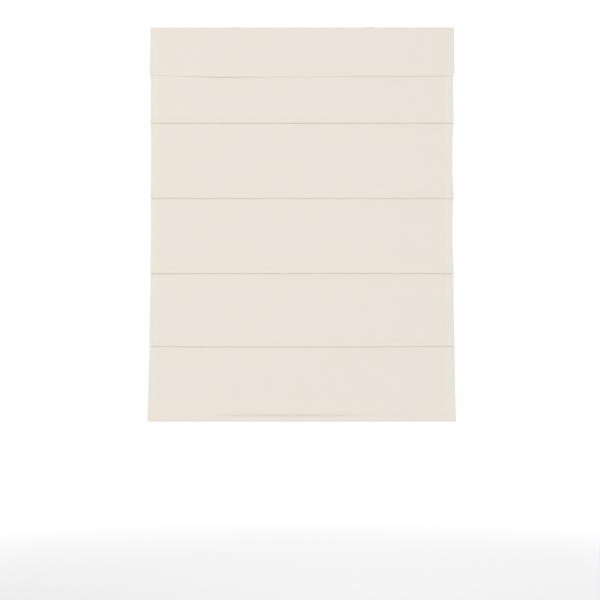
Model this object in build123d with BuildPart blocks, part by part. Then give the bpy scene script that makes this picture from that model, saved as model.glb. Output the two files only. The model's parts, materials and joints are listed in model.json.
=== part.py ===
from build123d import *
import math
import os

# A cordless roman blind: a front-tucked cloth panel on battens, lifted by two flat tapes
# that wind on spools in the headrail, driven by a spring motor on the same shaft.
# Millimetres. +Z is up, the room is on the -Y side, and X runs along the headrail.
# The origin is under the lintel, midway between the brackets and over the rail's middle.

# Cloth
cloth = 0.8
layer_gap = 0.2
panel_width = 787
panel_top = 8
edge_draw = 1.5
hem_flare = 6
side_hem = 20
stitch_drops = (237.0, 433.0, 628.5, 818.5)
tuck_flares = (0, 0, 0, 2.5)
pocket_height = 13.5
kick_height = 25
kick_depth = 1.7
hem_stitch_drop = 1010
hem_height = 17
hem_turn_up = 6
hem_kick = 4
seam_lap = 0.5
tuck_close = 3.5

# Valance
valance_overhang = 2
valance_top = 2.4
valance_height = 127
valance_hem = 20
valance_turn_in = 7
fold_gap = 0.3

# Touch tape
touch_hook = 1.2
touch_loop = 1.6
touch_height = 20
touch_drop = 10
touch_inset = 6

# Headrail
rail_inset = 3.5
rail_depth = 48
rail_height = 36
rail_drop = 2
rail_wall = 1.0
rail_bend = 1.6
lip_width = 7
lip_drop = 3

# End caps
cap_plate = 2.5
cap_corner = 2
cap_plug = 12
cap_plug_wall = 1.5
cap_clear = 0.2

# Brackets
bracket_inset = 219.5
bracket_width = 30
bracket_sheet = 1.6
bracket_bend = 1.4
bracket_hole = 4.4
bracket_hole_spacing = 12
bracket_toe = 4.5
bracket_clear = 0.3
tongue_lean = 1.5

# Lift shaft
lift_inset = 103.5
shaft_drop = 22.4
shaft_offset = 10.3
shaft_flats = 6
shaft_overhang = 14
bore_clear = 0.05

# Spools
spool_core = 7.5
spool_flange = 12
spool_flange_wall = 1
spool_gap = 8
spool_end_gap = 0.5
journal = 5
running_fit = 0.05

# Lift tapes
lift_tape_width = 6
lift_tape_sheet = 0.3
wrap_clear = 0.15
wrap_turn = 250

# Cradles
cradle_wall = 2
cradle_floor = 1.5
cradle_height = 26
cradle_corner = 4
cradle_fit = 0.2
saddle_mouth = 8.6
chimney_wall = 1.2
chimney_slot = 2.4
chimney_side = 1
chimney_reach = 1.5
chimney_fit = 0.3

# Spring motor
motor_length = 30
motor_wall = 1.8
motor_corner = 2.5
drum_core = 6.2
drum_flange = 9.8
drum_flange_wall = 1.2
drum_end_gap = 0.5
drum_post = 3
spring_strip = 20
spring_sheet = 0.3
spring_coil = 1.6
spring_clear = 0.1
screw_boss = 2.8
screw_inset = 4.2
screw_shank = 1.2
screw_head = 2.4
screw_head_height = 1.4
screw_length = 9

# Battens, tape guides and bottom bar
batten_width = 9.5
batten_sheet = 2.0
batten_overhang = 1
pocket_clear = 0.3
guide_width = 14
guide_height = 9
guide_plate = 1.2
guide_loop_width = 11
guide_loop_height = 3
guide_slot_clear = 0.8
guide_wall = 1.2
bar_width = 11
bar_sheet = 2.6
bar_inset = 6
bar_corner = 0.8
bar_cap_reach = 3
bar_cap_lap = 9
bar_cap_wall = 0.6
bar_cap_fit = 0.05

# Places that follow from the sizes above
rail_front = -rail_depth / 2
rail_floor = -rail_drop - rail_height + rail_wall
panel_front = rail_front - touch_hook - touch_loop - cloth
valance_front = panel_front - touch_hook - touch_loop - cloth
front_layer = panel_front + cloth / 2
pocket_depth = batten_sheet + 2 * pocket_clear
back_layer = front_layer + cloth + pocket_depth
hanging_layer = back_layer + cloth + layer_gap
half_panel = panel_width / 2
half_rail = half_panel - rail_inset
half_valance = half_panel + valance_overhang
bracket_place = half_panel - bracket_inset
lift_place = half_panel - lift_inset
lift_points = (("left", -lift_place), ("right", lift_place))
tape_line = -shaft_offset - spool_core - wrap_clear - lift_tape_sheet / 2

os.makedirs("parts", exist_ok=True)


def keep(builder, name):
    builder.part.label = name
    export_step(builder.part, f"parts/{name}.step")


def strip(points, radius, sheet):
    """Section of a sheet whose middle line runs through points, rounded at each bend."""
    with BuildSketch() as section:
        with BuildLine() as middle:
            if len(points) > 2:
                FilletPolyline(*points, radius=radius)
            else:
                Line(*points)
        trace(middle.line, line_width=sheet)
    return section.sketch_local


# Headrail: a roll-formed channel, open at the top, with its lips turned in and down
rail_middle = rail_wall / 2
rail_side = rail_depth / 2 - rail_middle
rail_crest = -rail_drop - rail_middle
rail_base = rail_floor - rail_middle
lip_edge = rail_depth / 2 - lip_width + rail_middle
lip_end = -rail_drop - rail_wall - lip_drop
rail_path = (
    (-lip_edge, lip_end),
    (-lip_edge, rail_crest),
    (-rail_side, rail_crest),
    (-rail_side, rail_base),
    (rail_side, rail_base),
    (rail_side, rail_crest),
    (lip_edge, rail_crest),
    (lip_edge, lip_end),
)
chimney_width = lift_tape_width + 2 * chimney_side + 2 * chimney_wall
chimney_depth = chimney_slot + 2 * chimney_wall
with BuildPart() as headrail:
    with BuildSketch(Plane.YZ):
        add(strip(rail_path, rail_bend, rail_wall))
    extrude(amount=half_rail, both=True)
    with BuildSketch(Plane.XY.offset(rail_floor)):
        with Locations(*[(x, tape_line) for side, x in lift_points]):
            Rectangle(chimney_width + 2 * chimney_fit, chimney_depth + 2 * chimney_fit)
    extrude(amount=-2 * rail_wall, mode=Mode.SUBTRACT)
keep(headrail, "headrail")

# End caps: moulded plates with a hollow plug that pushes into the channel under its lips
rail_middle_drop = -rail_drop - rail_height / 2
plug_height = lip_end - rail_floor - 2 * cap_clear
plug_depth = rail_depth - 2 * rail_wall - 2 * cap_clear
plug_middle = (lip_end + rail_floor) / 2
for side, sign in (("left", -1), ("right", 1)):
    rail_end = Plane.YZ.offset(sign * half_rail)
    with BuildPart() as end_cap:
        with BuildSketch(rail_end):
            with Locations((0, rail_middle_drop)):
                RectangleRounded(rail_depth, rail_height, cap_corner)
        extrude(amount=sign * cap_plate)
        with BuildSketch(rail_end):
            with Locations((0, plug_middle)):
                RectangleRounded(plug_depth, plug_height, rail_bend)
                Rectangle(
                    plug_depth - 2 * cap_plug_wall,
                    plug_height - 2 * cap_plug_wall,
                    mode=Mode.SUBTRACT,
                )
        extrude(amount=-sign * cap_plug)
        outer_face = end_cap.faces().sort_by(Axis.X)[-1 if sign > 0 else 0]
        fillet(outer_face.edges(), cap_plate / 3)
    keep(end_cap, f"{side}_end_cap")

# Brackets: stamped spring steel, screwed up to the lintel; the front toe goes under the
# channel's front lip and the rear tongue snaps behind the rear one
plate_middle = -bracket_sheet / 2
leg = lip_edge - rail_middle - bracket_clear - bracket_sheet / 2
toe_drop = lip_end - bracket_clear - bracket_sheet / 2
bracket_path = (
    (-leg - bracket_toe, toe_drop),
    (-leg, toe_drop),
    (-leg, plate_middle),
    (leg, plate_middle),
    (leg - tongue_lean, toe_drop - tongue_lean),
    (leg + bracket_toe / 2, toe_drop - bracket_sheet / 2),
)
for side, sign in (("left", -1), ("right", 1)):
    bracket_middle = sign * bracket_place
    with BuildPart() as bracket:
        with BuildSketch(Plane.YZ.offset(bracket_middle)):
            add(strip(bracket_path, bracket_bend, bracket_sheet))
            with Locations((0, plate_middle)):
                Rectangle(rail_depth, bracket_sheet)
        extrude(amount=bracket_width / 2, both=True)
        plate_corners = bracket.edges().filter_by(Axis.Z).group_by(Axis.Y)
        fillet(plate_corners[0] + plate_corners[-1], cap_corner)
        with Locations((bracket_middle, 0, 0)):
            with GridLocations(0, bracket_hole_spacing, 1, 2):
                Hole(bracket_hole / 2, depth=2 * bracket_sheet)
    keep(bracket, f"{side}_bracket")

# Lift shaft: one hexagonal steel rod through both spools and the motor
shaft_axis = Plane.YZ.shift_origin((0, -shaft_offset, -shaft_drop))
shaft_half = lift_place + shaft_overhang
with BuildPart() as lift_shaft:
    with BuildSketch(shaft_axis):
        RegularPolygon(shaft_flats / 2, 6, major_radius=False)
    extrude(amount=shaft_half, both=True)
    chamfer(lift_shaft.faces().filter_by(Axis.X).edges(), 0.4)
keep(lift_shaft, "lift_shaft")

# Spools: moulded, with a tape gap between two flanges and a journal at each end
spool_half = spool_gap / 2 + spool_flange_wall
cradle_inside = spool_half + spool_end_gap
journal_end = cradle_inside + cradle_wall + spool_end_gap
for side, x in lift_points:
    spool_axis = shaft_axis.offset(x)
    with BuildPart() as spool:
        with BuildSketch(spool_axis):
            Circle(journal)
        extrude(amount=journal_end, both=True)
        with BuildSketch(spool_axis):
            Circle(spool_flange)
        extrude(amount=spool_half, both=True)
        flange_rims = spool.edges().filter_by(GeomType.CIRCLE).group_by(Edge.length.fget)[-1]
        chamfer(flange_rims, spool_flange_wall / 4)
        with BuildSketch(spool_axis):
            Circle(spool_flange + 1)
            Circle(spool_core, mode=Mode.SUBTRACT)
        extrude(amount=spool_gap / 2, both=True, mode=Mode.SUBTRACT)
        with BuildSketch(spool_axis):
            RegularPolygon(shaft_flats / 2 + bore_clear, 6, major_radius=False)
        extrude(amount=journal_end, both=True, mode=Mode.SUBTRACT)
    keep(spool, f"{side}_spool")

# Cradles: a saddle wall at each end of a spool, and a floor with a slotted spigot that
# drops through the rail and leads the tape out
cradle_depth = rail_depth - 2 * rail_wall - 2 * cradle_fit
cradle_base = rail_floor + cradle_height / 2
saddle = journal + running_fit
for side, x in lift_points:
    with BuildPart() as cradle:
        with BuildSketch(Plane.YZ.offset(x)):
            with Locations((0, cradle_base)):
                RectangleRounded(cradle_depth, cradle_height, cradle_corner)
            with Locations((0, rail_floor + cradle_corner / 2)):
                Rectangle(cradle_depth - 2 * rail_bend, cradle_corner)
            with Locations((-shaft_offset, -shaft_drop)):
                Circle(saddle, mode=Mode.SUBTRACT)
                Rectangle(saddle_mouth, cradle_height, align=(Align.CENTER, Align.MIN), mode=Mode.SUBTRACT)
        extrude(amount=cradle_inside + cradle_wall, both=True)
        with BuildSketch(Plane.YZ.offset(x)):
            with Locations((0, rail_floor + cradle_floor)):
                Rectangle(rail_depth, cradle_height, align=(Align.CENTER, Align.MIN))
        extrude(amount=cradle_inside, both=True, mode=Mode.SUBTRACT)
        with BuildSketch(Plane.XY.offset(rail_floor + cradle_floor)):
            with Locations((x, tape_line)):
                Rectangle(chimney_width, chimney_depth)
        extrude(amount=-cradle_floor - rail_wall - chimney_reach)
        with BuildSketch(Plane.XY.offset(rail_floor + cradle_floor)):
            with Locations((x, tape_line)):
                Rectangle(chimney_width - 2 * chimney_wall, chimney_slot)
        extrude(amount=-cradle_height, mode=Mode.SUBTRACT)
    keep(cradle, f"{side}_cradle")

# Motor housing: an open tray with a bearing for the output drum, the storage drum's post
# and four screw bosses
motor_half = motor_length / 2
motor_middle = -shaft_drop
motor_height = 2 * (motor_middle - rail_floor)
motor_depth = rail_depth - 2 * rail_wall - 2 * cradle_fit
screw_points = (
    (motor_depth / 2 - screw_inset, motor_height / 2 - screw_inset),
    (-motor_depth / 2 + screw_inset, motor_height / 2 - screw_inset),
    (motor_depth / 2 - screw_inset, -motor_height / 2 + screw_inset),
    (-motor_depth / 2 + screw_inset, -motor_height / 2 + screw_inset),
)
bearing = journal + running_fit
with BuildPart() as motor_housing:
    with BuildSketch(Plane.YZ.offset(-motor_half)):
        with Locations((0, motor_middle)):
            RectangleRounded(motor_depth, motor_height, motor_corner)
    extrude(amount=motor_length - motor_wall)
    with BuildSketch(Plane.YZ.offset(-motor_half + motor_wall)):
        with Locations((0, motor_middle)):
            RectangleRounded(motor_depth - 2 * motor_wall, motor_height - 2 * motor_wall, 1)
            with Locations(*screw_points):
                Circle(screw_boss, mode=Mode.SUBTRACT)
    extrude(amount=motor_length, mode=Mode.SUBTRACT)
    with BuildSketch(Plane.YZ.offset(-motor_half)):
        with Locations((shaft_offset, -shaft_drop)):
            Circle(drum_post)
    extrude(amount=motor_length - motor_wall)
    with BuildSketch(Plane.YZ.offset(-motor_half)):
        with Locations((-shaft_offset, -shaft_drop)):
            Circle(bearing)
    extrude(amount=motor_wall, mode=Mode.SUBTRACT)
    with BuildSketch(Plane.YZ.offset(motor_half - motor_wall)):
        with Locations((0, motor_middle)):
            with Locations(*screw_points):
                Circle(screw_shank + running_fit)
    extrude(amount=-screw_length, mode=Mode.SUBTRACT)
keep(motor_housing, "motor_housing")

# Motor cover: a flat moulded lid over the tray
with BuildPart() as motor_cover:
    with BuildSketch(Plane.YZ.offset(motor_half - motor_wall)):
        with Locations((0, motor_middle)):
            RectangleRounded(motor_depth, motor_height, motor_corner)
            with Locations(*screw_points):
                Circle(screw_shank + running_fit, mode=Mode.SUBTRACT)
        with Locations((-shaft_offset, -shaft_drop)):
            Circle(bearing, mode=Mode.SUBTRACT)
    extrude(amount=motor_wall)
keep(motor_cover, "motor_cover")

# Motor screws: four small pan heads
with BuildPart() as motor_screws:
    with BuildSketch(Plane.YZ.offset(motor_half)):
        with Locations((0, motor_middle)):
            with Locations(*screw_points):
                Circle(screw_shank)
    extrude(amount=-motor_wall - screw_length + 1)
    with BuildSketch(Plane.YZ.offset(motor_half)):
        with Locations((0, motor_middle)):
            with Locations(*screw_points):
                Circle(screw_head)
    extrude(amount=screw_head_height)
    rims = motor_screws.faces().sort_by(Axis.X)[-4:].edges()
    chamfer(rims, screw_head_height / 3)
keep(motor_screws, "motor_screws")

# Drums: the output drum drives the shaft, and the storage drum turns on its post
drum_half = motor_half - motor_wall - drum_end_gap
strip_half = spring_strip / 2 + drum_end_gap


def drum(name, middle, bore_sides, bore_size, shaft_end):
    axis = Plane.YZ.shift_origin((0, middle, -shaft_drop))
    with BuildPart() as piece:
        with BuildSketch(axis):
            Circle(drum_core)
        extrude(amount=drum_half, both=True)
        for end in (-1, 1):
            with BuildSketch(axis.offset(end * strip_half)):
                Circle(drum_flange)
            extrude(amount=end * drum_flange_wall)
        if shaft_end:
            with BuildSketch(axis):
                Circle(journal)
            extrude(amount=shaft_end, both=True)
        with BuildSketch(axis):
            if bore_sides:
                RegularPolygon(bore_size, bore_sides, major_radius=False)
            else:
                Circle(bore_size)
        extrude(amount=motor_length, both=True, mode=Mode.SUBTRACT)
    keep(piece, name)


drum("output_drum", -shaft_offset, 6, shaft_flats / 2 + bore_clear, motor_half)
drum("storage_drum", shaft_offset, 0, drum_post + running_fit, 0)

# Power spring: one steel strip, coiled full on the output drum, which crosses between the
# drums in an S and starts its other coil on the storage drum
coil_inner = drum_core + spring_clear
full_coil = coil_inner + spring_coil
first_coil = coil_inner + spring_sheet
full_middle = full_coil - spring_sheet / 2
first_middle = first_coil - spring_sheet / 2
cross_angle = math.acos((full_middle + first_middle) / (2 * shaft_offset))
cross_y = math.cos(cross_angle)
cross_z = math.sin(cross_angle)
with BuildPart() as power_spring:
    with BuildSketch(Plane.YZ.offset(-spring_strip / 2)):
        with Locations((-shaft_offset, -shaft_drop)):
            Circle(full_coil)
            Circle(coil_inner, mode=Mode.SUBTRACT)
        with Locations((shaft_offset, -shaft_drop)):
            Circle(first_coil)
            Circle(coil_inner, mode=Mode.SUBTRACT)
        with BuildLine() as crossing:
            Line(
                (-shaft_offset + full_middle * cross_y, -shaft_drop + full_middle * cross_z),
                (shaft_offset - first_middle * cross_y, -shaft_drop - first_middle * cross_z),
            )
        trace(crossing.line, line_width=spring_sheet)
    extrude(amount=spring_strip)
keep(power_spring, "power_spring")

# Touch tape: hook strips stuck to the rail and sewn to the panel's front, and loop strips
# sewn to the panel's back and the valance's back
touch_half = half_panel - touch_inset
touch_bottom = -touch_drop - touch_height
touch_layers = (
    ("rail_hook_tape", rail_front, touch_hook, half_rail),
    ("panel_loop_tape", rail_front - touch_hook, touch_loop, touch_half),
    ("panel_hook_tape", panel_front, touch_hook, touch_half),
    ("valance_loop_tape", panel_front - touch_hook, touch_loop, touch_half),
)
for name, face, depth, half in touch_layers:
    with BuildPart() as touch_tape:
        with BuildSketch(Plane.XZ.offset(-face)):
            with Locations((0, touch_bottom)):
                Rectangle(2 * half, touch_height, align=(Align.CENTER, Align.MIN))
        extrude(amount=depth)
    keep(touch_tape, name)

# Panel: one cloth from the rail to the hem. At each tuck it runs down over a batten, turns
# back up behind it and is stitched to itself, and the next band hangs from that stitch
stitches = [-drop for drop in stitch_drops] + [-hem_stitch_drop]
hem_front = front_layer - hem_kick
bar_cap_sheet = bar_sheet + 2 * (bar_cap_wall + bar_cap_fit)
bar_cap_width = bar_width + 2 * (bar_cap_wall + bar_cap_fit)
hem_back = hem_front + cloth + bar_cap_sheet + 2 * pocket_clear
hem_fold = stitches[-1] - hem_height + cloth / 2
tuck_bend = (back_layer - front_layer) / 2 - 0.05


def band_path(upper, lower, lower_y, shift):
    """Middle line of the free cloth between two stitches."""
    return (
        (hanging_layer + shift, upper - pocket_height),
        (lower_y + kick_depth + shift, lower + kick_height),
        (lower_y + shift, lower - seam_lap),
    )


with BuildPart() as fabric_panel:
    with BuildSketch(Plane.YZ):
        add(strip(((front_layer, -panel_top), (front_layer, stitches[0] - seam_lap)), 1, cloth))
        for upper, lower in zip(stitches[:-1], stitches[1:]):
            lower_y = hem_front if lower == stitches[-1] else front_layer
            fold = upper - pocket_height + cloth / 2
            tuck = (
                (front_layer, upper + seam_lap),
                (front_layer, fold),
                (back_layer, fold),
                (back_layer, upper - tuck_close),
                (front_layer + cloth, upper + seam_lap),
            )
            add(strip(tuck, tuck_bend, cloth))
            hang = (
                (front_layer + cloth, upper + seam_lap),
                (hanging_layer, upper - tuck_close),
                *band_path(upper, lower, lower_y, 0),
            )
            add(strip(hang, 1, cloth))
        hem = (
            (hem_front, stitches[-1] + seam_lap),
            (hem_front, hem_fold),
            (hem_back, hem_fold),
            (hem_back, stitches[-1] - tuck_close),
            (hem_front + cloth, stitches[-1]),
            (hem_front + cloth, stitches[-1] + hem_turn_up),
        )
        add(strip(hem, 1, cloth))
    extrude(amount=half_panel + hem_flare, both=True)
    for sign in (-1, 1):
        with BuildSketch(Plane.YZ.offset(sign * (half_panel + hem_flare))):
            for upper, lower in zip([-touch_drop - touch_height] + stitches[:-1], stitches):
                lower_y = hem_front if lower == stitches[-1] else front_layer
                if upper > stitches[0]:
                    turned = ((front_layer + cloth, upper - 1), (front_layer + cloth, lower - seam_lap))
                    add(strip(turned, 1, cloth))
                else:
                    add(strip(band_path(upper, lower, lower_y, cloth), 1, cloth))
        extrude(amount=-sign * (side_hem + hem_flare))
    with BuildSketch(Plane.XZ):
        with BuildLine():
            for sign in (-1, 1):
                edge = sign * half_panel
                Line((0, -panel_top), (edge, -panel_top))
                last = (edge, -panel_top)
                for level, flare in zip(stitches, tuck_flares):
                    waist = edge - sign * edge_draw
                    ridge = edge + sign * flare
                    ThreePointArc(last, (waist, (last[1] + level) / 2), (ridge, level))
                    Line((ridge, level), (ridge, level - pocket_height))
                    last = (ridge, level - pocket_height)
                hem_edge = edge + sign * hem_flare
                Line(last, (hem_edge, stitches[-1]))
                Line((hem_edge, stitches[-1]), (hem_edge, stitches[-1] - hem_height - 1))
            Line(
                (-half_panel - hem_flare, stitches[-1] - hem_height - 1),
                (half_panel + hem_flare, stitches[-1] - hem_height - 1),
            )
        make_face()
    extrude(amount=rail_depth, both=True, mode=Mode.INTERSECT)
keep(fabric_panel, "fabric_panel")

# Valance: a loose strip of the same cloth, turned in at the top and hemmed below, with
# turned side edges, that hangs on its own touch tape and hides the rail
valance_middle = valance_front + cloth / 2
valance_bottom = -valance_top - valance_height + cloth / 2
turned_layer = valance_middle + cloth + fold_gap
valance_bend = (cloth + fold_gap) * 0.47
valance_path = (
    (turned_layer, -valance_top - valance_turn_in),
    (turned_layer, -valance_top - cloth / 2),
    (valance_middle, -valance_top - cloth / 2),
    (valance_middle, valance_bottom),
    (turned_layer, valance_bottom),
    (turned_layer, valance_bottom + valance_hem),
)
with BuildPart() as valance:
    with BuildSketch(Plane.YZ):
        add(strip(valance_path, valance_bend, cloth))
    extrude(amount=half_valance, both=True)
    side_hem_box = touch_bottom - 1 - valance_bottom - valance_hem
    for sign in (-1, 1):
        with BuildSketch(Plane.XZ.offset(-valance_front - cloth)):
            with Locations((sign * (half_valance - side_hem / 2), valance_bottom + valance_hem)):
                Rectangle(side_hem, side_hem_box, align=(Align.CENTER, Align.MIN))
        extrude(amount=-cloth)
keep(valance, "valance")

# Battens: flat glass-fibre strips, one in each tuck, that reach just past the cloth
batten_y = front_layer + cloth / 2 + pocket_depth / 2
guide_front = hanging_layer + cloth / 2 + pocket_clear
guide_back = tape_line + chimney_slot / 2 + guide_wall + guide_slot_clear


def guide(name, x, z, front):
    """A moulded plate sewn to the cloth's back, with a flat loop that the tape runs through."""
    loop_depth = guide_back - front
    slot_depth = 2 * (guide_back - guide_wall - tape_line)
    with BuildPart() as piece:
        with BuildSketch(Plane.XZ.offset(-front)):
            with Locations((x, z)):
                RectangleRounded(guide_width, guide_height, 2)
        extrude(amount=-guide_plate)
        with BuildSketch(Plane.XY.offset(z - guide_loop_height / 2)):
            with Locations((x, front)):
                Rectangle(guide_loop_width, loop_depth, align=(Align.CENTER, Align.MIN))
            with Locations((x, tape_line)):
                RectangleRounded(guide_loop_width - 2 * guide_wall, slot_depth, 1, mode=Mode.SUBTRACT)
        extrude(amount=guide_loop_height)
        loop_corners = piece.edges().filter_by(Axis.Z).group_by(Axis.Y)[-1]
        fillet(loop_corners, 2)
    keep(piece, name)


for number, (stitch, flare) in enumerate(zip(stitches, tuck_flares), start=1):
    batten_half = half_panel + flare + batten_overhang
    batten_z = stitch - tuck_close + 0.5 - batten_width / 2
    with BuildPart() as batten:
        with BuildSketch(Plane.YZ.offset(-batten_half)):
            with Locations((batten_y, batten_z)):
                RectangleRounded(batten_sheet, batten_width, batten_sheet * 0.45)
        extrude(amount=2 * batten_half)
    keep(batten, f"batten_{number}")
    for side, x in lift_points:
        guide(f"{side}_guide_{number}", x, stitch - pocket_height / 2, guide_front)

# Bottom bar: a flat steel weight in the hem, with a moulded cap over each end
bar_y = (hem_front + hem_back) / 2
bar_z = stitches[-1] - hem_height + cloth + pocket_clear + bar_cap_width / 2
bar_half = half_panel + hem_flare - bar_inset
cap_inner = bar_half - bar_cap_lap
with BuildPart() as bottom_bar:
    with BuildSketch(Plane.YZ.offset(-bar_half)):
        with Locations((bar_y, bar_z)):
            RectangleRounded(bar_sheet, bar_width, bar_corner)
    extrude(amount=2 * bar_half)
keep(bottom_bar, "bottom_bar")

for side, sign in (("left", -1), ("right", 1)):
    with BuildPart() as bar_cap:
        with BuildSketch(Plane.YZ.offset(sign * cap_inner)):
            with Locations((bar_y, bar_z)):
                RectangleRounded(bar_cap_sheet, bar_cap_width, bar_corner + bar_cap_wall)
        extrude(amount=sign * (bar_cap_lap + bar_cap_reach))
        cap_end = bar_cap.faces().sort_by(Axis.X)[-1 if sign > 0 else 0]
        fillet(cap_end.edges(), bar_corner)
        with BuildSketch(Plane.YZ.offset(sign * cap_inner)):
            with Locations((bar_y, bar_z)):
                RectangleRounded(bar_sheet + 2 * bar_cap_fit, bar_width + 2 * bar_cap_fit, bar_corner)
        extrude(amount=sign * bar_cap_lap, mode=Mode.SUBTRACT)
    keep(bar_cap, f"{side}_bar_cap")

# Tape anchors: like a guide, but sewn at the hem's stitch, and holding the tape's end
anchor_front = hem_back + cloth / 2 + pocket_clear
anchor_z = stitches[-1] - pocket_height / 2
for side, x in lift_points:
    guide(f"{side}_tape_anchor", x, anchor_z, anchor_front)

# Lift tapes: flat woven tape that leaves the front of its spool, drops through the cradle
# and the guides, and ends in a stitched fold under its anchor's loop
wrap_radius = spool_core + wrap_clear + lift_tape_sheet / 2
tape_end = anchor_z - guide_loop_height / 2 - 2
for side, x in lift_points:
    with BuildPart() as lift_tape:
        with BuildSketch(Plane.YZ.offset(x - lift_tape_width / 2)):
            with BuildLine() as route:
                wrap = CenterArc((-shaft_offset, -shaft_drop), wrap_radius, 180 - wrap_turn, wrap_turn)
                Line(wrap @ 1, (tape_line, tape_end))
            trace(route.line, line_width=lift_tape_sheet)
        extrude(amount=lift_tape_width)
    keep(lift_tape, f"{side}_lift_tape")
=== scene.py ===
import json
import math
import random

import bmesh
import bpy
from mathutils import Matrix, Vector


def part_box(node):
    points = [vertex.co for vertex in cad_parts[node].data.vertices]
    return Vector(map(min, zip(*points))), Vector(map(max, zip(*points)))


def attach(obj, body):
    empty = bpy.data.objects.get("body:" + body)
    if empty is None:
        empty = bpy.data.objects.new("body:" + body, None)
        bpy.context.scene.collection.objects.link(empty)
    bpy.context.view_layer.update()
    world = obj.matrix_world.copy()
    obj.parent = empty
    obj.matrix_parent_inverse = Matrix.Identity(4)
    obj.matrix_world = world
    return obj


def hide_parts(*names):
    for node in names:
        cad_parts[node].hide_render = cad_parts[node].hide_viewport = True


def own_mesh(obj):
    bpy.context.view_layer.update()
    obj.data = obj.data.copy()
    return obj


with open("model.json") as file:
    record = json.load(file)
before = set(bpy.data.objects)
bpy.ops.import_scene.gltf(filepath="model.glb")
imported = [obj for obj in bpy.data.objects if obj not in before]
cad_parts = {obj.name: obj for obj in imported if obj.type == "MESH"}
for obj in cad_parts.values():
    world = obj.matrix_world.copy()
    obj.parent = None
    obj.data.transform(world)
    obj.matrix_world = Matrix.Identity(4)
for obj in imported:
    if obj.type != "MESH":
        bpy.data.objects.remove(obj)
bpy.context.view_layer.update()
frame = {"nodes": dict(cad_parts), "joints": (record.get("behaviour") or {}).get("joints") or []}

# The brackets: two stamped clips of zinc-plated spring steel, each held up by two screws.
# The plating is bright but cloudy, with fine rolling lines along the strip.
zinc = (0.62, 0.63, 0.63)
zinc_dark = (0.44, 0.45, 0.46)
rolling_depth = 0.00002


class Wire:
    """An output of a node. Arithmetic on it adds Math nodes."""

    def __init__(self, finish, socket):
        self.finish = finish
        self.socket = socket

    def maths(self, operation, *values):
        return self.finish.node("ShaderNodeMath", {"operation": operation}, dict(enumerate(values)))

    def __add__(self, other):
        return self.maths("ADD", self, other)

    def __sub__(self, other):
        return self.maths("SUBTRACT", self, other)

    def __rsub__(self, other):
        return self.maths("SUBTRACT", other, self)

    def __mul__(self, other):
        return self.maths("MULTIPLY", self, other)

    def __gt__(self, other):
        return self.maths("GREATER_THAN", self, other)

    def __lt__(self, other):
        return self.maths("LESS_THAN", self, other)

    def __pow__(self, other):
        return self.maths("POWER", self, other)

    def __rpow__(self, other):
        return self.maths("POWER", other, self)

    def __abs__(self):
        return self.maths("ABSOLUTE", self)

    def sine(self):
        return self.maths("SINE", self)

    __radd__ = __add__
    __rmul__ = __mul__


class Finish:
    """A material: one principled shader, and the nodes that vary it."""

    def __init__(self, name, **plain):
        self.material = bpy.data.materials.new(name)
        self.material.use_nodes = True
        self.tree = self.material.node_tree
        self.shader = self.tree.nodes["Principled BSDF"]
        self.place = self.node("ShaderNodeTexCoord", output="Object")
        self.set(self.shader, {key.replace("_", " "): value for key, value in plain.items()})

    def set(self, node, sockets):
        for key, value in sockets.items():
            if isinstance(value, Wire):
                self.tree.links.new(value.socket, node.inputs[key])
            else:
                node.inputs[key].default_value = value

    def node(self, kind, settings=None, sockets=None, output=0):
        """Adds a node with its settings and its sockets' values or links, and gives an output."""
        made = self.tree.nodes.new(kind)
        for key, value in (settings or {}).items():
            if key == "stops":
                for element, (position, shade) in zip(made.color_ramp.elements, value):
                    element.position = position
                    element.color = (shade, shade, shade, 1)
            else:
                setattr(made, key, value)
        self.set(made, sockets or {})
        return Wire(self, made.outputs[output])

    def across(self, axis):
        """The place along X, Y or Z, in metres."""
        return self.node("ShaderNodeSeparateXYZ", sockets={0: self.place}, output=axis)

    def noise(self, size, detail=2.0, stretch=(1, 1, 1)):
        """Soft noise whose blots are about size metres across, times stretch along each axis."""
        scale = [1 / (size * k) for k in stretch]
        spot = self.node("ShaderNodeMapping", sockets={"Vector": self.place, "Scale": scale})
        sockets = {"Vector": spot, "Scale": 1.0, "Detail": detail}
        return self.node("ShaderNodeTexNoise", sockets=sockets)

    def between(self, factor, first, second):
        """A colour that goes from first to second as factor goes from 0 to 1."""
        sockets = {0: factor}
        for key, value in ((6, first), (7, second)):
            sockets[key] = value if isinstance(value, Wire) else (*value, 1)
        return self.node("ShaderNodeMix", {"data_type": "RGBA"}, sockets, output=2)

    def bump(self, height, depth):
        """Raises the surface by height, of 0 to 1, times depth in metres."""
        sockets = {"Height": height, "Distance": depth, "Strength": 1.0}
        self.set(self.shader, {"Normal": self.node("ShaderNodeBump", sockets=sockets)})

    def colour(self, value):
        self.set(self.shader, {"Base Color": value})

    def rough(self, low, high, factor):
        self.set(self.shader, {"Roughness": low + (high - low) * factor})


def rolled_metal(name, light, dark, line=0.0006, long=60.0, cloud=0.012, roughness=(0.30, 0.5)):
    """Drawn or rolled metal: fine lines along X, under a cloudy tone."""
    finish = Finish(name, Metallic=1.0)
    lines = finish.noise(line, detail=3.0, stretch=(long, 1, 1))
    clouds = finish.noise(cloud, detail=3.0)
    finish.colour(finish.between(lines * 0.45 + clouds * 0.55, dark, light))
    finish.rough(*roughness, clouds)
    finish.bump(lines, rolling_depth)
    return finish.material


def dress(material, *nodes):
    """Gives CAD pieces their finish."""
    for node in nodes:
        slots = frame["nodes"][node].data.materials
        slots.clear()
        slots.append(material)


bracket_steel = rolled_metal("zinc_plate", zinc, zinc_dark)
dress(bracket_steel, "left_bracket", "right_bracket")

# The headrail: a roll-formed steel channel in baked white enamel, open at the top. The
# enamel has a faint orange peel, and long ripples left by the forming rolls.
enamel = (0.80, 0.80, 0.78)
enamel_shade = (0.765, 0.765, 0.742)
enamel_gloss = (0.30, 0.44)
forming_wave = 0.05
enamel_depth = 0.00006


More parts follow.
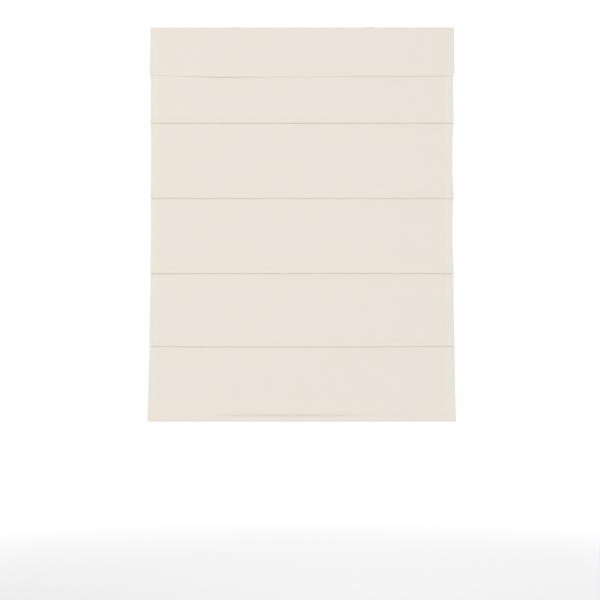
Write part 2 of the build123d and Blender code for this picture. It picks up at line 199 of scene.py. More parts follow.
def enamelled(name, light, shade, peel=0.0022):
    """Baked enamel: orange peel, with slow changes of gloss."""
    finish = Finish(name, IOR=1.5)
    peeled = finish.noise(peel)
    waves = finish.noise(forming_wave, stretch=(6, 1, 1))
    finish.colour(finish.between(waves, shade, light))
    finish.rough(*enamel_gloss, waves)
    finish.bump(peeled * 0.6 + waves * 0.4, enamel_depth)
    return finish.material


rail_paint = enamelled("rail_enamel", enamel, enamel_shade)
dress(rail_paint, "headrail")

# The end caps: injection-moulded white plates that plug into the channel's two ends. Their
# finely etched surface is the mould's, and its gloss changes a little from place to place.
white = (0.82, 0.81, 0.78)
white_shade = (0.775, 0.765, 0.735)
flow_size = 0.018


def moulded(name, light, shade, grain=0.0005, roughness=(0.42, 0.56), depth=0.00003):
    """Moulded plastic: the mould's fine grain, and a cloudy flow of tone and gloss."""
    finish = Finish(name, IOR=1.47)
    etched = finish.noise(grain)
    flow = finish.noise(flow_size, detail=3.0, stretch=(2, 1, 1))
    finish.colour(finish.between(flow * 0.75 + etched * 0.25, shade, light))
    finish.rough(*roughness, flow)
    finish.bump(etched, depth)
    return finish.material


white_moulding = moulded("white_moulding", white, white_shade)
dress(white_moulding, "left_end_cap", "right_end_cap")

# The cradles and spools: natural acetal, waxy and slightly see-through. A cradle clips
# into the channel under each tape, and its two saddles carry the spool's journals.
acetal = (0.73, 0.73, 0.71)
acetal_shade = (0.67, 0.67, 0.645)

natural_moulding = moulded(
    "natural_acetal", acetal, acetal_shade, grain=0.0008, roughness=(0.34, 0.46)
)
dress(natural_moulding, "left_cradle", "right_cradle", "left_spool", "right_spool")

# The lift shaft: a drawn hexagonal steel rod that turns both spools and the motor's drum.
# Its drawing lines run the whole way along it.
bright_steel = (0.60, 0.60, 0.61)
dull_steel = (0.40, 0.40, 0.42)

shaft_steel = rolled_metal(
    "drawn_steel", bright_steel, dull_steel, line=0.0003, long=200.0, cloud=0.02, roughness=(0.22, 0.36)
)
dress(shaft_steel, "lift_shaft")

# The spring motor: a grey moulded case with a screwed cover, two acetal drums, and a strip
# of blued spring steel that runs from one drum to the other and balances the blind.
case_grey = (0.62, 0.63, 0.64)
case_shade = (0.56, 0.57, 0.585)
blued = (0.30, 0.33, 0.42)
straw = (0.46, 0.42, 0.36)

motor_case = moulded(
    "motor_case", case_grey, case_shade, grain=0.0006, roughness=(0.44, 0.6), depth=0.00005
)
dress(motor_case, "motor_housing", "motor_cover")
drum_moulding = moulded("drum_acetal", acetal, acetal_shade, grain=0.0007, roughness=(0.3, 0.44))
dress(drum_moulding, "output_drum", "storage_drum")
spring_steel = rolled_metal(
    "blued_strip", straw, blued, line=0.0004, long=4.0, cloud=0.006, roughness=(0.24, 0.4)
)
dress(spring_steel, "power_spring")
screw_steel = rolled_metal(
    "plated_screws", zinc, zinc_dark, line=0.0003, long=1.0, cloud=0.003, roughness=(0.3, 0.45)
)
dress(screw_steel, "motor_screws")

# The touch tapes: white nylon hook tape stuck along the rail and sewn to the panel's front,
# and looped tape sewn to the backs of the panel and the valance.
nylon = (0.84, 0.83, 0.80)
nylon_shade = (0.70, 0.69, 0.66)
hook_pitch = 0.0016
loop_size = 0.0007
pile_height = 0.0005


def touch_tape(name, hooks):
    """Touch tape: rows of hooks, or a felt of fine loops."""
    finish = Finish(name, Roughness=0.8, Sheen_Weight=0.25)
    felt = finish.noise(loop_size, detail=3.0)
    if hooks:
        turn = 2 * math.pi / hook_pitch
        rows = (finish.across("X") * turn).sine() * (finish.across("Z") * turn).sine()
        raised = felt * 0.3 + abs(rows) * 0.7
    else:
        raised = felt
    # On hook tape the colour darkens between the rows of hooks: painted shade. The felt's blots are the
    # tape's own tone.
    finish.colour(finish.between(raised, nylon_shade, nylon))
    finish.bump(raised, pile_height)
    return finish.material


hook_tape = touch_tape("hook_tape", True)
loop_tape = touch_tape("loop_tape", False)
dress(hook_tape, "rail_hook_tape", "panel_hook_tape")
dress(loop_tape, "panel_loop_tape", "valance_loop_tape")

# The battens and their guides: flat strips of white pultruded glass fibre, one in each
# tuck, and small moulded plates with a loop that the lift tape runs through.
fibre = (0.79, 0.79, 0.74)
fibre_shade = (0.70, 0.71, 0.64)
clear_white = (0.79, 0.79, 0.77)
clear_shade = (0.735, 0.735, 0.71)
roving_size = 0.0004
roving_stretch = 120
roving_depth = 0.00004
fibre_gloss = (0.32, 0.5)
tucks = (1, 2, 3, 4)
sides = ("left", "right")

glass_fibre = Finish("glass_fibre", IOR=1.52)
rovings = glass_fibre.noise(roving_size, detail=3.0, stretch=(roving_stretch, 1, 1))
glass_fibre.colour(glass_fibre.between(rovings, fibre_shade, fibre))
glass_fibre.rough(*fibre_gloss, rovings)
glass_fibre.bump(rovings, roving_depth)
dress(glass_fibre.material, *[f"batten_{k}" for k in tucks])

guide_moulding = moulded("guide_moulding", clear_white, clear_shade, roughness=(0.3, 0.42))
dress(guide_moulding, *[f"{side}_guide_{k}" for k in tucks for side in sides])
dress(guide_moulding, *[f"{side}_tape_anchor" for side in sides])

# The bottom bar: a flat steel weight in baked white paint, with a moulded cap pushed over
# each end. It lies loose in the panel's hem and pulls the cloth straight.
bar_white = (0.72, 0.72, 0.70)
bar_shade = (0.67, 0.67, 0.65)

bar_paint = enamelled("bar_paint", bar_white, bar_shade, peel=0.0016)
dress(bar_paint, "bottom_bar")
dress(white_moulding, "left_bar_cap", "right_bar_cap")

# The cloth: a matt cream plain weave with slubs in both directions. Its colour is darker in
# the hollows of the weave, as painted shade. Where it lies double, in the side hems, less
# light comes through it and its tone is a little yellower.
cream = (0.815, 0.763, 0.689)
cream_shade = (0.770, 0.716, 0.636)
hem_cream = (0.822, 0.780, 0.692)
cloth_sheet = 0.0008
thread_pitch = 0.0009
thread_round = 0.35
slub_stops = ((0.52, 0.0), (0.74, 1.0))
slubs_across = 1100
slubs_along = 28
mottle_scale = 9
hem_tone = 0.7
weave_depth = 0.00018
cloth_gloss = (0.78, 0.95)
side_hem = 0.020


def cream_cloth(name, half):
    """The cloth, on a piece whose side edges lie half a width from the middle."""
    finish = Finish(name, Sheen_Weight=0.12, Sheen_Roughness=0.6, Specular_IOR_Level=0.3)
    x = finish.across("X")
    along = finish.node("ShaderNodeAttribute", {"attribute_name": "along"}, output="Fac")
    spot = finish.node("ShaderNodeCombineXYZ", sockets={"X": x, "Y": along})

    def threads(across, down, detail=1.0):
        stretch = {"Vector": spot, "Scale": (across, down, 1)}
        scaled = finish.node("ShaderNodeMapping", sockets=stretch)
        sockets = {"Vector": scaled, "Scale": 1.0, "Detail": detail}
        return finish.node("ShaderNodeTexNoise", sockets=sockets)

    turn = math.pi / thread_pitch
    warp = (x * turn).sine()
    weft = (along * turn).sine()
    over = (warp * weft) > 0.0
    warp_up = abs(warp) * abs(weft) ** thread_round
    weft_up = abs(weft) * abs(warp) ** thread_round
    weave = over * warp_up + (1 - over) * weft_up
    ramp = {"stops": slub_stops}
    weft_slub = finish.node("ShaderNodeValToRGB", ramp, {0: threads(slubs_along, slubs_across)})
    warp_slub = finish.node("ShaderNodeValToRGB", ramp, {0: threads(slubs_across, slubs_along)})
    slubs = weft_slub * 0.6 + warp_slub * 0.4
    mottle = threads(mottle_scale, mottle_scale, detail=3.0)
    double = (abs(x) > half - side_hem) * hem_tone
    tone = finish.between(double, cream, hem_cream)
    # Painted shade in the hollows of the weave, with the slubs' and the mottle's own tone.
    weave_shade_and_slub_tone = (1 - weave) * 0.16 + slubs * 0.14 + mottle * 0.10
    finish.colour(finish.between(weave_shade_and_slub_tone, tone, cream_shade))
    finish.rough(*cloth_gloss, weave)
    finish.bump(weave * 0.55 + slubs * 0.45, weave_depth)
    return finish.material


most_cut = 0.45


def rounded(points, radius, steps=4):
    """A line through points, in (y, z), with each corner cut back by radius and curved."""
    line = [points[0]]
    for before, corner, after in zip(points[:-2], points[1:-1], points[2:]):
        ends = []
        for other in (before, after):
            gap = math.dist(corner, other)
            share = min(radius, most_cut * gap) / gap
            ends.append([c + (o - c) * share for c, o in zip(corner, other)])
        for step in range(steps + 1):
            t = step / steps
            weights = ((1 - t) ** 2, 2 * t * (1 - t), t * t)
            curve = zip(ends[0], corner, ends[1])
            line.append(tuple(sum(w * v for w, v in zip(weights, values)) for values in curve))
    line.append(points[-1])
    return line


def divided(line, gap):
    """The line again, with its long runs divided into steps of at most gap."""
    fine = [line[0]]
    for start, end in zip(line[:-1], line[1:]):
        steps = max(1, math.ceil(math.dist(start, end) / gap))
        for step in range(1, steps + 1):
            fine.append(tuple(a + (b - a) * step / steps for a, b in zip(start, end)))
    return fine


def distances(line, start=0.0):
    """How far down the cut each point of the line lies, when its first point is at start."""
    lengths = [start]
    for before, after in zip(line[:-1], line[1:]):
        lengths.append(lengths[-1] + math.dist(before, after))
    return lengths


turn_radius = 0.00052
front_columns = 168
turn_columns = 5
hem_columns = 4
side_columns = turn_columns + hem_columns


def across_cloth(u, half):
    """Where the column of cloth at u, from -1 to 1, lies: its x, and how far behind the front
    the side hem takes it."""
    steps = abs(u) * (front_columns / 2 + side_columns)
    beyond = steps - front_columns / 2
    side = math.copysign(1, u)
    flat = half - turn_radius
    if beyond <= 0:
        return side * flat * steps / (front_columns / 2), 0.0
    if beyond <= turn_columns:
        angle = math.pi * beyond / turn_columns
        return side * (flat + turn_radius * math.sin(angle)), turn_radius * (1 - math.cos(angle))
    return side * (flat - side_hem * (beyond - turn_columns) / hem_columns), 2 * turn_radius


def cloth_piece(name, material, line, edges, lie, start=0.0):
    """A piece of cloth with the section line, and its sides turned back as hems. edges(z)
    gives its left and right half width, and lie(x, z) how far it comes forward and hangs
    down. start is how far down the cut the section begins."""
    columns = front_columns + 2 * side_columns
    bm = bmesh.new()
    bmesh.ops.create_grid(bm, x_segments=columns, y_segments=len(line) - 1, size=1)
    along = bm.verts.layers.float.new("along")
    lengths = distances(line, start)
    for vert in bm.verts:
        row = round((1 - vert.co.y) / 2 * (len(line) - 1))
        y, z = line[row]
        back, ahead = line[max(row - 1, 0)], line[min(row + 1, len(line) - 1)]
        run = math.dist(back, ahead)
        u = vert.co.x
        left, right = edges(z)
        half = left if u < 0 else right
        x, folded = across_cloth(u, half)
        normal_y = (back[1] - ahead[1]) / run
        normal_z = (ahead[0] - back[0]) / run
        forward, down = lie(x, z)
        vert.co = (x, y + folded * normal_y - forward, z + folded * normal_z - down)
        vert[along] = lengths[row]
    bmesh.ops.recalc_face_normals(bm, faces=bm.faces)
    return finished(name, bm, material)


def finished(name, bm, material):
    """Makes an object of a bmesh, smooth but for a sheet's rim, with its finish."""
    for face in bm.faces:
        face.smooth = True
    for edge in bm.edges:
        edge.smooth = not edge.is_boundary
    mesh = bpy.data.meshes.new(name)
    bm.to_mesh(mesh)
    bm.free()
    mesh.materials.append(material)
    piece = bpy.data.objects.new(name, mesh)
    bpy.context.scene.collection.objects.link(piece)
    return piece


def thicken(piece, thickness=cloth_sheet):
    """Gives a sheet its thickness, half on each side."""
    shell = piece.modifiers.new("sheet", "SOLIDIFY")
    shell.thickness = thickness
    shell.offset = 0
    return piece


# The stitching: one line of lockstitch across each tuck and the hem, in cream thread that
# pulls the cloth into a shallow groove.
thread = (0.800, 0.745, 0.660)
thread_shade = (0.700, 0.640, 0.550)
stitch_pitch = 0.0030
stitch_length = 0.0024
thread_thickness = 0.00035
thread_stand = 0.0001
thread_dip = 0.8
twist_scale = 9000.0
twist_depth = 0.00005

thread_finish = Finish("thread", Roughness=0.6)
slanting = thread_finish.across("X") * twist_scale + thread_finish.across("Z") * twist_scale
twist = slanting.sine() * 0.5 + 0.5
# The colour darkens in the grooves of the twist: painted shade.
thread_finish.colour(thread_finish.between(twist, thread_shade, thread))
thread_finish.bump(twist, twist_depth)


def stitch_row(name, half, y, z, lie, body):
    """A row of stitches along X on cloth that lies as lie(x, z) says. Each is a short thread
    whose ends dip into the cloth."""
    bm = bmesh.new()
    bmesh.ops.create_icosphere(bm, subdivisions=1, radius=0.5)
    for vert in bm.verts:
        dip = (2 * vert.co.x) ** 2 * thread_thickness * thread_dip
        vert.co.x *= stitch_length
        vert.co.y = vert.co.y * thread_thickness + dip
        vert.co.z *= thread_thickness
    first = list(bm.verts)
    stitch = [*first, *bm.edges, *bm.faces]
    count = int(2 * half / stitch_pitch)
    for number in range(count):
        x = (number - (count - 1) / 2) * stitch_pitch
        forward, down = lie(x, z)
        copy = bmesh.ops.duplicate(bm, geom=stitch)["geom"]
        verts = [part for part in copy if isinstance(part, bmesh.types.BMVert)]
        bmesh.ops.translate(bm, verts=verts, vec=(x, y - forward, z - down))
    bmesh.ops.delete(bm, geom=first, context="VERTS")
    row = finished(name, bm, thread_finish.material)
    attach(row, body)
    return row


# The panel's front: one cloth from the rail to the hem. Each tuck runs down over its batten
# and back up behind it to a line of stitching, from which the next stretch hangs.
touch_inset = 0.006
panel_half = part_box("panel_hook_tape")[1].x + touch_inset
front_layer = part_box("panel_hook_tape")[1].y + cloth_sheet / 2
batten_boxes = [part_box(f"batten_{k}") for k in tucks]
stitch_above_batten = 0.003
stitches = [high.z + stitch_above_batten for low, high in batten_boxes]
panel_low, panel_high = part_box("fabric_panel")
hem_height = 0.017
hem_stitch = panel_low.z + hem_height
pocket_height = 0.0135
pocket_depth = 0.0034
tuck_depth = 0.0044
hanging_layer = front_layer + tuck_depth
hem_forward = 0.004
hem_layer = front_layer - hem_forward
tail_end = 0.0142
# For each seam, from the top down: its groove's depth, and how far it stands forward.
grooves = (0.0005, 0.0006, 0.0003, 0.0003, 0.0)
seam_stands = (0.0010, 0.0002, 0.0, 0.0003, 0.0)
groove_reach = 0.0026
# For each tuck: how far its fold stands forward, or back where it is negative.
fold_stands = (0.0, -0.0002, 0.0007, 0.0)
lift_travel = next(j for j in frame["joints"] if j["name"] == "lift")["range_m"][1]
lift_anchor = -0.040
gathered = 1 - lift_travel / (lift_anchor - hem_stitch)
levels = [panel_high.z, *stitches, hem_stitch]
# At each level, how far the edges stand out, and how far they draw in between two levels.
left_flares = (0.0, 0.0, 0.0, 0.0005, 0.0030, 0.0078)
right_flares = (0.0, 0.0, 0.0, 0.0005, 0.0030, 0.0055)
left_waists = (0.0006, 0.0010, 0.0008, 0.0, 0.0)
right_waists = (0.0012, 0.0026, 0.0026, 0.0008, 0.0)
panel_cloth = cream_cloth("panel_cloth", panel_half)


def panel_edges(z):
    """The panel's left and right half width at a height: it is widest at its battens."""
    halves = []
    for flares, waists in ((left_flares, left_waists), (right_flares, right_waists)):
        half = panel_half + flares[-1]
        for band, (upper, lower) in enumerate(zip(levels[:-1], levels[1:])):
            if z >= lower:
                top = upper - pocket_height
                t = min(1.0, max(0.0, (top - z) / (top - lower)))
                half = panel_half + flares[band] + (flares[band + 1] - flares[band]) * t
                half -= waists[band] * 4 * t * (1 - t)
                break
        halves.append(half)
    return halves


dice = random.Random(7)
phases = (0, 6.28)
full_turn = 6.283


def waves(count, lengths, sizes):
    """Waves along X, each with its length, its phase and its size, from 0 to 1."""
    made = []
    for _ in range(count):
        made.append((dice.uniform(*lengths), dice.uniform(*phases), dice.uniform(*sizes)))
    return made


def ripple(x, waves):
    """How high the waves are together at x."""
    return sum(size * math.sin(full_turn * x / length + phase) for length, phase, size in waves)


slow_waves = [waves(2, (0.26, 0.52), (0.4, 0.8)) for level in levels]
puckers = [waves(4, (0.011, 0.024), (0.5, 1.0)) for level in levels[1:]]
slow_depth = 0.0006
pucker_depth = 0.00007
pucker_reach = 0.007
faint = 0.02
# How far each tuck's fold sags at its middle, and how far down the sag dies out.
fold_sags = (0.0, 0.0, 0.0, 0.0010)
sag_reach = 0.03
# The hem's seam lies in a groove, drawn in deepest a little left of the middle.
hem_seam = hem_stitch - 0.0015
hem_groove = 0.0002
hem_pull = 0.0046
hem_pull_middle = -0.042
hem_pull_width = 0.178
pull_above = 0.0034
pull_below = 0.0014


def panel_lie(x, z):
    """How far the cloth comes forward and down: slow waves between the tucks, puckers at a
    seam, a fold that sags in its middle, and the hem's seam drawn in at its middle."""
    forward = 0.0
    down = 0.0
    for band, (upper, lower) in enumerate(zip(levels[:-1], levels[1:])):
        top = upper - pocket_height
        if lower <= z <= top:
            t = (top - z) / (top - lower)
            forward += slow_depth * ripple(x, slow_waves[band]) * math.sin(math.pi * t)
    for seam, level in enumerate(levels[1:]):
        near = math.exp(-abs(z - level) / pucker_reach)
        if near > faint:
            forward += pucker_depth * near * ripple(x, puckers[seam])
    for level, sag in zip(stitches, fold_sags):
        below = level - z
        if below > 0:
            share = min(below / pocket_height, 1 - (below - pocket_height) / sag_reach)
            down += sag * (1 - (x / panel_half) ** 2) * max(0.0, share)
    pull = hem_groove + hem_pull * math.exp(-((x - hem_pull_middle) / hem_pull_width) ** 4)
    reach = pull_above if z > hem_seam else pull_below
    return forward - pull * math.exp(-abs(z - hem_seam) / reach), down


cut = 0.0


def hang(name, line, body):
    """Makes the next piece of the panel, on a body, and moves the cut on past it."""
    global cut
    piece = cloth_piece(name, panel_cloth, line, panel_edges, panel_lie, cut)
    thicken(piece)
    length = distances(line)[-1]
    cut += length
    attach(piece, body)
    return piece


def fold_up(piece, span, left_over, forward):
    """Gives a half of a stretch of cloth its own mesh. It works out how the half, span high,
    would shorten to left_over with its far end forward, but does not move the cloth."""
    rise = 1 - left_over / span
    slope = forward / (rise * span)
    angle = math.atan(slope)
    squeeze = rise / math.cos(angle) ** 2
    1 - squeeze
    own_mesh(piece)


row_gap = 0.006
top_line = divided([(front_layer, panel_high.z), (front_layer, lift_anchor)], row_gap)
panel_top = hang("panel_top", top_line, "headrail_frame")
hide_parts("fabric_panel")

# How far each fall's crease has come forward when the blind is raised.
forward_folds = (0.006, 0.013, 0.017, 0.018, 0.018)
bodies = ["headrail_frame", *[f"tuck_{k}" for k in tucks], "bottom_rail"]
# A fall leans back by its kick above its seam, where the cloth springs away from the tuck.
kick_height = 0.025
tuck_kick = 0.0017
rail_kick = 0.0010
kick_radius = 0.010
# A tuck's section, measured down or up from its seam and back from the front.
groove_rim = 0.0001
fold_drop = pocket_height - cloth_sheet / 2
fold_swell = 0.0003
swell_drop = 0.0080
shoulder_drop = 0.0035
pinch_back = 0.0010
pinch_rise = 0.0004
tail_back = 0.0019
tail_rise = 0.0005
fold_radius = 0.0017
fold_gap = 0.002
row_inset = 0.002
starts = [lift_anchor, *stitches]
ends = [*stitches, hem_stitch]
for number, (upper, lower) in enumerate(zip(starts, ends), start=1):
    from_tuck = number > 1
    groove = grooves[number - 1]
    to_layer = hem_layer if lower == hem_stitch else front_layer - seam_stands[number - 1]
    from_layer = hanging_layer if from_tuck else front_layer
    top = upper - tail_end if from_tuck else upper
    kick = tuck_kick if from_tuck else rail_kick
    middle = (top + lower) / 2
    kick_top = lower + kick_height
    share = (top - middle) / (top - kick_top)
    middle_layer = from_layer + (to_layer + kick - from_layer) * share
    upper_half = [(from_layer, top), (middle_layer, middle)]
    lower_half = [
        (middle_layer, middle),
        (to_layer + kick, kick_top),
        (to_layer, lower + groove_reach),
        (to_layer + groove, lower),
    ]
    span = (top - lower) / 2
    left_over = (gathered * (upper - lower) - (tail_end if from_tuck else 0)) / 2
    forward = forward_folds[number - 1]
    piece = hang(f"panel_fall_{number}_upper", divided(upper_half, row_gap), bodies[number - 1])
    fold_up(piece, span, left_over, forward)
    lower_line = divided(rounded(lower_half, kick_radius), row_gap)
    piece = hang(f"panel_fall_{number}_lower", lower_line, bodies[number])
    fold_up(piece, span, left_over, forward)
    if lower == hem_stitch:
        break
    fold_layer = front_layer - fold_stands[number - 1]
    tuck = [
        (to_layer + groove, lower),
        (to_layer - groove_rim, lower - groove_reach),
        (fold_layer - fold_swell, lower - swell_drop),
        (fold_layer, lower - fold_drop),
        (front_layer + pocket_depth, lower - fold_drop),
        (front_layer + pocket_depth, lower - shoulder_drop),
        (front_layer + pinch_back, lower + pinch_rise),
        (front_layer + tail_back, lower + tail_rise),
        (hanging_layer, lower - shoulder_drop),
        (hanging_layer, lower - tail_end),
    ]
    tuck_line = divided(rounded(tuck, fold_radius), fold_gap)
    stitch_y = to_layer + groove - cloth_sheet / 2 - thread_stand
    row_half = panel_half - row_inset
    row = stitch_row(f"tuck_{number}_stitches", row_half, stitch_y, lower, panel_lie, f"tuck_{number}")
    sewn_on = [row, *(frame["nodes"][f"{side}_guide_{number}"] for side in sides)]
    hang(f"panel_tuck_{number}", tuck_line, f"tuck_{number}")

# The panel's hem: the cloth's end, turned up round the weighted bar and stitched across
# with the same thread. The tape anchors are sewn to its back.
hem_depth = 0.0053
hem_lean = 0.0004
lean_drop = 0.0090
hem_turn_up = 0.0060
hem_radius = 0.0022
hem_gap = 0.0015
layer_gap = 0.0003
hem_turned = hem_layer + cloth_sheet + layer_gap
hem_floor = panel_low.z + cloth_sheet / 2
hem = [
    (hem_layer, hem_seam),
    (hem_layer - hem_lean, hem_stitch - lean_drop),
    (hem_layer - hem_lean, hem_floor),
    (hem_layer + hem_depth, hem_floor),
    (hem_layer + hem_depth, hem_stitch - shoulder_drop),
    (hem_turned, hem_stitch + tail_rise),
    (hem_turned, hem_stitch + hem_turn_up),
]
hem_line = divided([(hem_layer, hem_stitch), *rounded(hem, hem_radius)], hem_gap)
hem_stitch_y = hem_layer - cloth_sheet / 2 - thread_stand
hem_row = stitch_row("hem_stitches", panel_half, hem_stitch_y, hem_seam, panel_lie, "bottom_rail")
sewn_on = [hem_row, *(frame["nodes"][f"{side}_tape_anchor"] for side in sides)]
hang("panel_hem", hem_line, "bottom_rail")

# The lift tapes: thin white woven tape with firm edges. Each leaves its spool, drops through
# the guides behind the panel, and ends in the anchor that is sewn to the hem.
webbing = (0.84, 0.83, 0.80)
webbing_shade = (0.70, 0.69, 0.66)
tape_width = 0.006
tape_sheet = 0.0003
tape_pitch = 0.0007
tape_columns = 6
edge_cord = 0.0006
twill_depth = 0.00012
shaft_low, shaft_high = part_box("lift_shaft")
shaft_y = (shaft_low.y + shaft_high.y) / 2
shaft_z = (shaft_low.z + shaft_high.z) / 2
wrap_radius = 0.0078
wrap_turn = math.radians(250)
tape_line_y = shaft_y - wrap_radius
tape_hand_over = -1.000
wrap_steps = 30
coil_gap = 0.004
run_gap = 0.02


def woven_tape(name, middle):
    """White tape with a twill weave, and a thicker cord along each edge."""
    finish = Finish(name, Roughness=0.75, Sheen_Weight=0.1)
    x = finish.across("X") - middle
    along = finish.node("ShaderNodeAttribute", {"attribute_name": "along"}, output="Fac")
    turn = 2 * math.pi / tape_pitch
    twill = ((abs(x) + along) * turn).sine() * 0.5 + 0.5
    edge = abs(x) > tape_width / 2 - edge_cord
    raised = twill * 0.7 + edge * 0.3
    # The colour darkens in the twill's hollows and is lighter on the raised edge cords: painted shade
    # and painted highlight.
    finish.colour(finish.between(raised, webbing_shade, webbing))
    finish.bump(raised, twill_depth)
    return finish.material


def ribbon(name, material, line, middle, body, start=0.0):
    """A flat tape along a line on a body. Gives it with how far down the tape it ends."""
    bm = bmesh.new()
    bmesh.ops.create_grid(bm, x_segments=tape_columns, y_segments=len(line) - 1, size=1)
    along = bm.verts.layers.float.new("along")
    lengths = distances(line, start)
    for vert in bm.verts:
        row = round((1 - vert.co.y) / 2 * (len(line) - 1))
        vert.co = (middle + vert.co.x * tape_width / 2, *line[row])
        vert[along] = lengths[row]
    bmesh.ops.recalc_face_normals(bm, faces=bm.faces)
    piece = thicken(finished(name, bm, material), tape_sheet)
    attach(piece, body)
    return piece, lengths[-1]


for side in sides:
    tape_low, tape_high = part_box(f"{side}_lift_tape")
    middle = (tape_low.x + tape_high.x) / 2
    material = woven_tape(f"{side}_webbing", middle)
    wrap = []
    for step in range(wrap_steps + 1):
        angle = math.pi - wrap_turn + wrap_turn * step / wrap_steps
        wrap.append((shaft_y + wrap_radius * math.cos(angle), shaft_z + wrap_radius * math.sin(angle)))
    wrap += divided([(tape_line_y, shaft_z), (tape_line_y, lift_anchor)], coil_gap)[1:]
    coil, length = ribbon(f"{side}_tape_on_spool", material, wrap, middle, "headrail_frame")
    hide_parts(f"{side}_lift_tape")
    run_line = divided([(tape_line_y, lift_anchor), (tape_line_y, tape_hand_over)], run_gap)
    run, length = ribbon(f"{side}_tape_run", material, run_line, middle, "headrail_frame", length)
    keep = 1 - lift_travel / (lift_anchor - tape_hand_over)
    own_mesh(run)
    end_line = divided([(tape_line_y, tape_hand_over), (tape_line_y, tape_low.z)], coil_gap)
    ribbon(f"{side}_tape_end", material, end_line, middle, "bottom_rail", length)

# The valance: a strip of the same cloth on its own touch tape, turned in along the top and
# hemmed below. It hangs free from the tape down, lowest a little left of the middle.
valance_low, valance_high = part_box("valance")
valance_half = valance_high.x
valance_layer = valance_low.y + cloth_sheet / 2
valance_turned = valance_layer + cloth_sheet + layer_gap
valance_turn_in = 0.007
valance_hem = 0.020
valance_radius = 0.0005
valance_free = -0.032
left_draw = 0.0022
right_draw = 0.0008
valance_sag = 0.0016
sag_middle = -0.16
end_rises = (0.0047, 0.0035)
valance_lean = 0.0012
valance_cloth = cream_cloth("valance_cloth", valance_half)
valance_waves = [(0.31, 1.1, 0.5), (0.47, 4.0, 0.8), (0.19, 2.2, 0.25)]
valance_depth = 0.0004


def valance_edges(z):
    """The valance's left and right half width: it widens as it hangs, most to the left."""
    t = (valance_high.z - z) / (valance_high.z - valance_low.z)
    return [valance_half - left_draw * (1 - t), valance_half - right_draw * (1 - t)]


def valance_lie(x, z):
    """How far the valance comes forward and down: slow waves that grow towards its free edge,
    which hangs lowest a little left of the middle."""
    t = max(0.0, (valance_free - z) / (valance_free - valance_low.z))
    rise = end_rises[0] if x < sag_middle else end_rises[1]
    end = math.copysign(valance_half, x - sag_middle)
    dip = valance_sag - rise * ((x - sag_middle) / (end - sag_middle)) ** 2
    return (valance_depth * ripple(x, valance_waves) - valance_lean) * t, dip * t


valance_top = [
    (valance_turned, valance_high.z - valance_turn_in),
    (valance_turned, valance_high.z - cloth_sheet / 2),
    (valance_layer, valance_high.z - cloth_sheet / 2),
    (valance_layer, valance_free),
]
valance_skirt = [
    (valance_layer, valance_free),
    (valance_layer, valance_low.z + cloth_sheet / 2),
    (valance_turned, valance_low.z + cloth_sheet / 2),
    (valance_turned, valance_low.z + valance_hem),
]
cut = 0.0
for name, points in (("valance_top", valance_top), ("valance_skirt", valance_skirt)):
    line = divided(rounded(points, valance_radius), row_gap)
    length = distances(line)[-1]
    piece = cloth_piece(name, valance_cloth, line, valance_edges, valance_lie, cut)
    thicken(piece)
    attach(piece, "headrail_frame")
    sewn_on = [frame["nodes"]["valance_loop_tape"]] if name == "valance_top" else []
    if name == "valance_top":
        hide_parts("valance")
    else:
        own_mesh(piece)
    cut += length

# The room: a pale floor that fades out, soft daylight from the left and above, and a camera
# level with the photograph's middle.
floor_level = -2.2
floor_radius = 6.0
floor_pale = (0.83, 0.83, 0.83)
floor_shade = (0.80, 0.80, 0.80)
floor_blot = 0.8
fade_from = 2.2
fade_to = 0.96 * floor_radius
sky_strength = 0.55
photo_width = 600
pixel = 0.002603
picture_centre = (-0.0052, -0.7109)
camera_distance = 3.4
sensor = 36.0

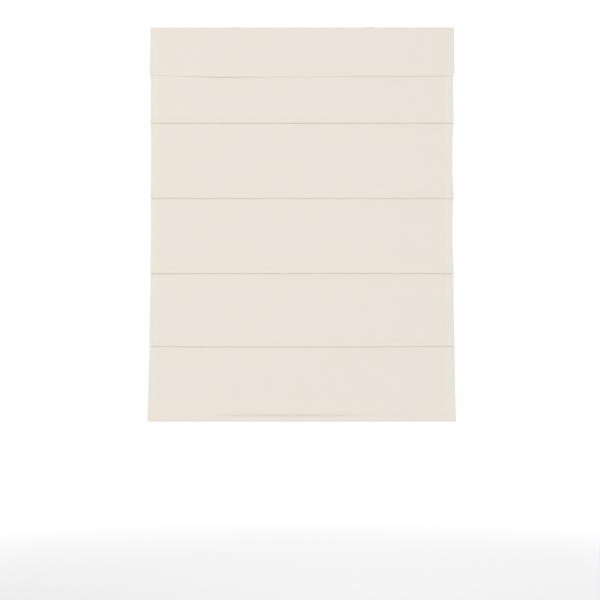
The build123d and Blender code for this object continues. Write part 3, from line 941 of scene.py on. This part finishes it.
bm = bmesh.new()
bmesh.ops.create_circle(bm, cap_ends=True, segments=96, radius=floor_radius)
bmesh.ops.translate(bm, verts=bm.verts, vec=(0, 0, floor_level))
floor_finish = Finish("pale_floor", Roughness=0.9)
blots = floor_finish.noise(floor_blot)
floor_finish.colour(floor_finish.between(blots, floor_shade, floor_pale))
away = {"operation": "LENGTH"}
reach = floor_finish.node("ShaderNodeVectorMath", away, {0: floor_finish.place}, output=1)
fade = floor_finish.node("ShaderNodeMapRange", sockets={0: reach, 1: fade_from, 2: fade_to})
clear = floor_finish.node("ShaderNodeBsdfTransparent")
shown = Wire(floor_finish, floor_finish.shader.outputs[0])
mixed = floor_finish.node("ShaderNodeMixShader", sockets={0: fade, 1: shown, 2: clear})
floor_finish.set(floor_finish.tree.nodes["Material Output"], {"Surface": mixed})
floor = finished("floor", bm, floor_finish.material)

world = bpy.data.worlds.new("daylight")
bpy.context.scene.world = world
world.use_nodes = True
sky = world.node_tree
background = sky.nodes["Background"]
seen = sky.nodes.new("ShaderNodeBackground")
seen.inputs["Color"].default_value = (1.0, 1.0, 1.0, 1)
background.inputs["Color"].default_value = (1.0, 1.0, 1.0, 1)
background.inputs["Strength"].default_value = sky_strength
rays = sky.nodes.new("ShaderNodeLightPath")
either = sky.nodes.new("ShaderNodeMath")
either.operation = "MAXIMUM"
sky.links.new(rays.outputs["Is Camera Ray"], either.inputs[0])
sky.links.new(rays.outputs["Is Glossy Ray"], either.inputs[1])
choice = sky.nodes.new("ShaderNodeMixShader")
sky.links.new(either.outputs[0], choice.inputs[0])
sky.links.new(background.outputs[0], choice.inputs[1])
sky.links.new(seen.outputs[0], choice.inputs[2])
sky.links.new(choice.outputs[0], sky.nodes["World Output"].inputs["Surface"])

lamps = (
    ("main_light", (-2.6, -5.2, 1.3), 2.6, 132.0),
    ("fill_light", (2.8, -4.6, -1.5), 2.6, 56.0),
    ("back_light", (0.6, 4.0, 0.8), 2.6, 60.0),
)
for name, place, size, power in lamps:
    lamp = bpy.data.lights.new(name, "AREA")
    lamp.shape = "DISK"
    lamp.size = size
    lamp.energy = power
    holder = bpy.data.objects.new(name, lamp)
    holder.location = place
    towards = (-place[0], -place[1], picture_centre[1] - place[2])
    holder.rotation_euler = Vector(towards).to_track_quat("-Z", "Y").to_euler()
    bpy.context.scene.collection.objects.link(holder)

lens = bpy.data.cameras.new("camera")
lens.sensor_width = sensor
lens.lens = sensor * camera_distance / (photo_width * pixel)
camera = bpy.data.objects.new("camera", lens)
camera.location = (picture_centre[0], front_layer - camera_distance, picture_centre[1])
camera.rotation_euler = (math.pi / 2, 0, 0)
bpy.context.scene.collection.objects.link(camera)
bpy.context.scene.camera = camera
bpy.context.scene.view_settings.view_transform = "Standard"
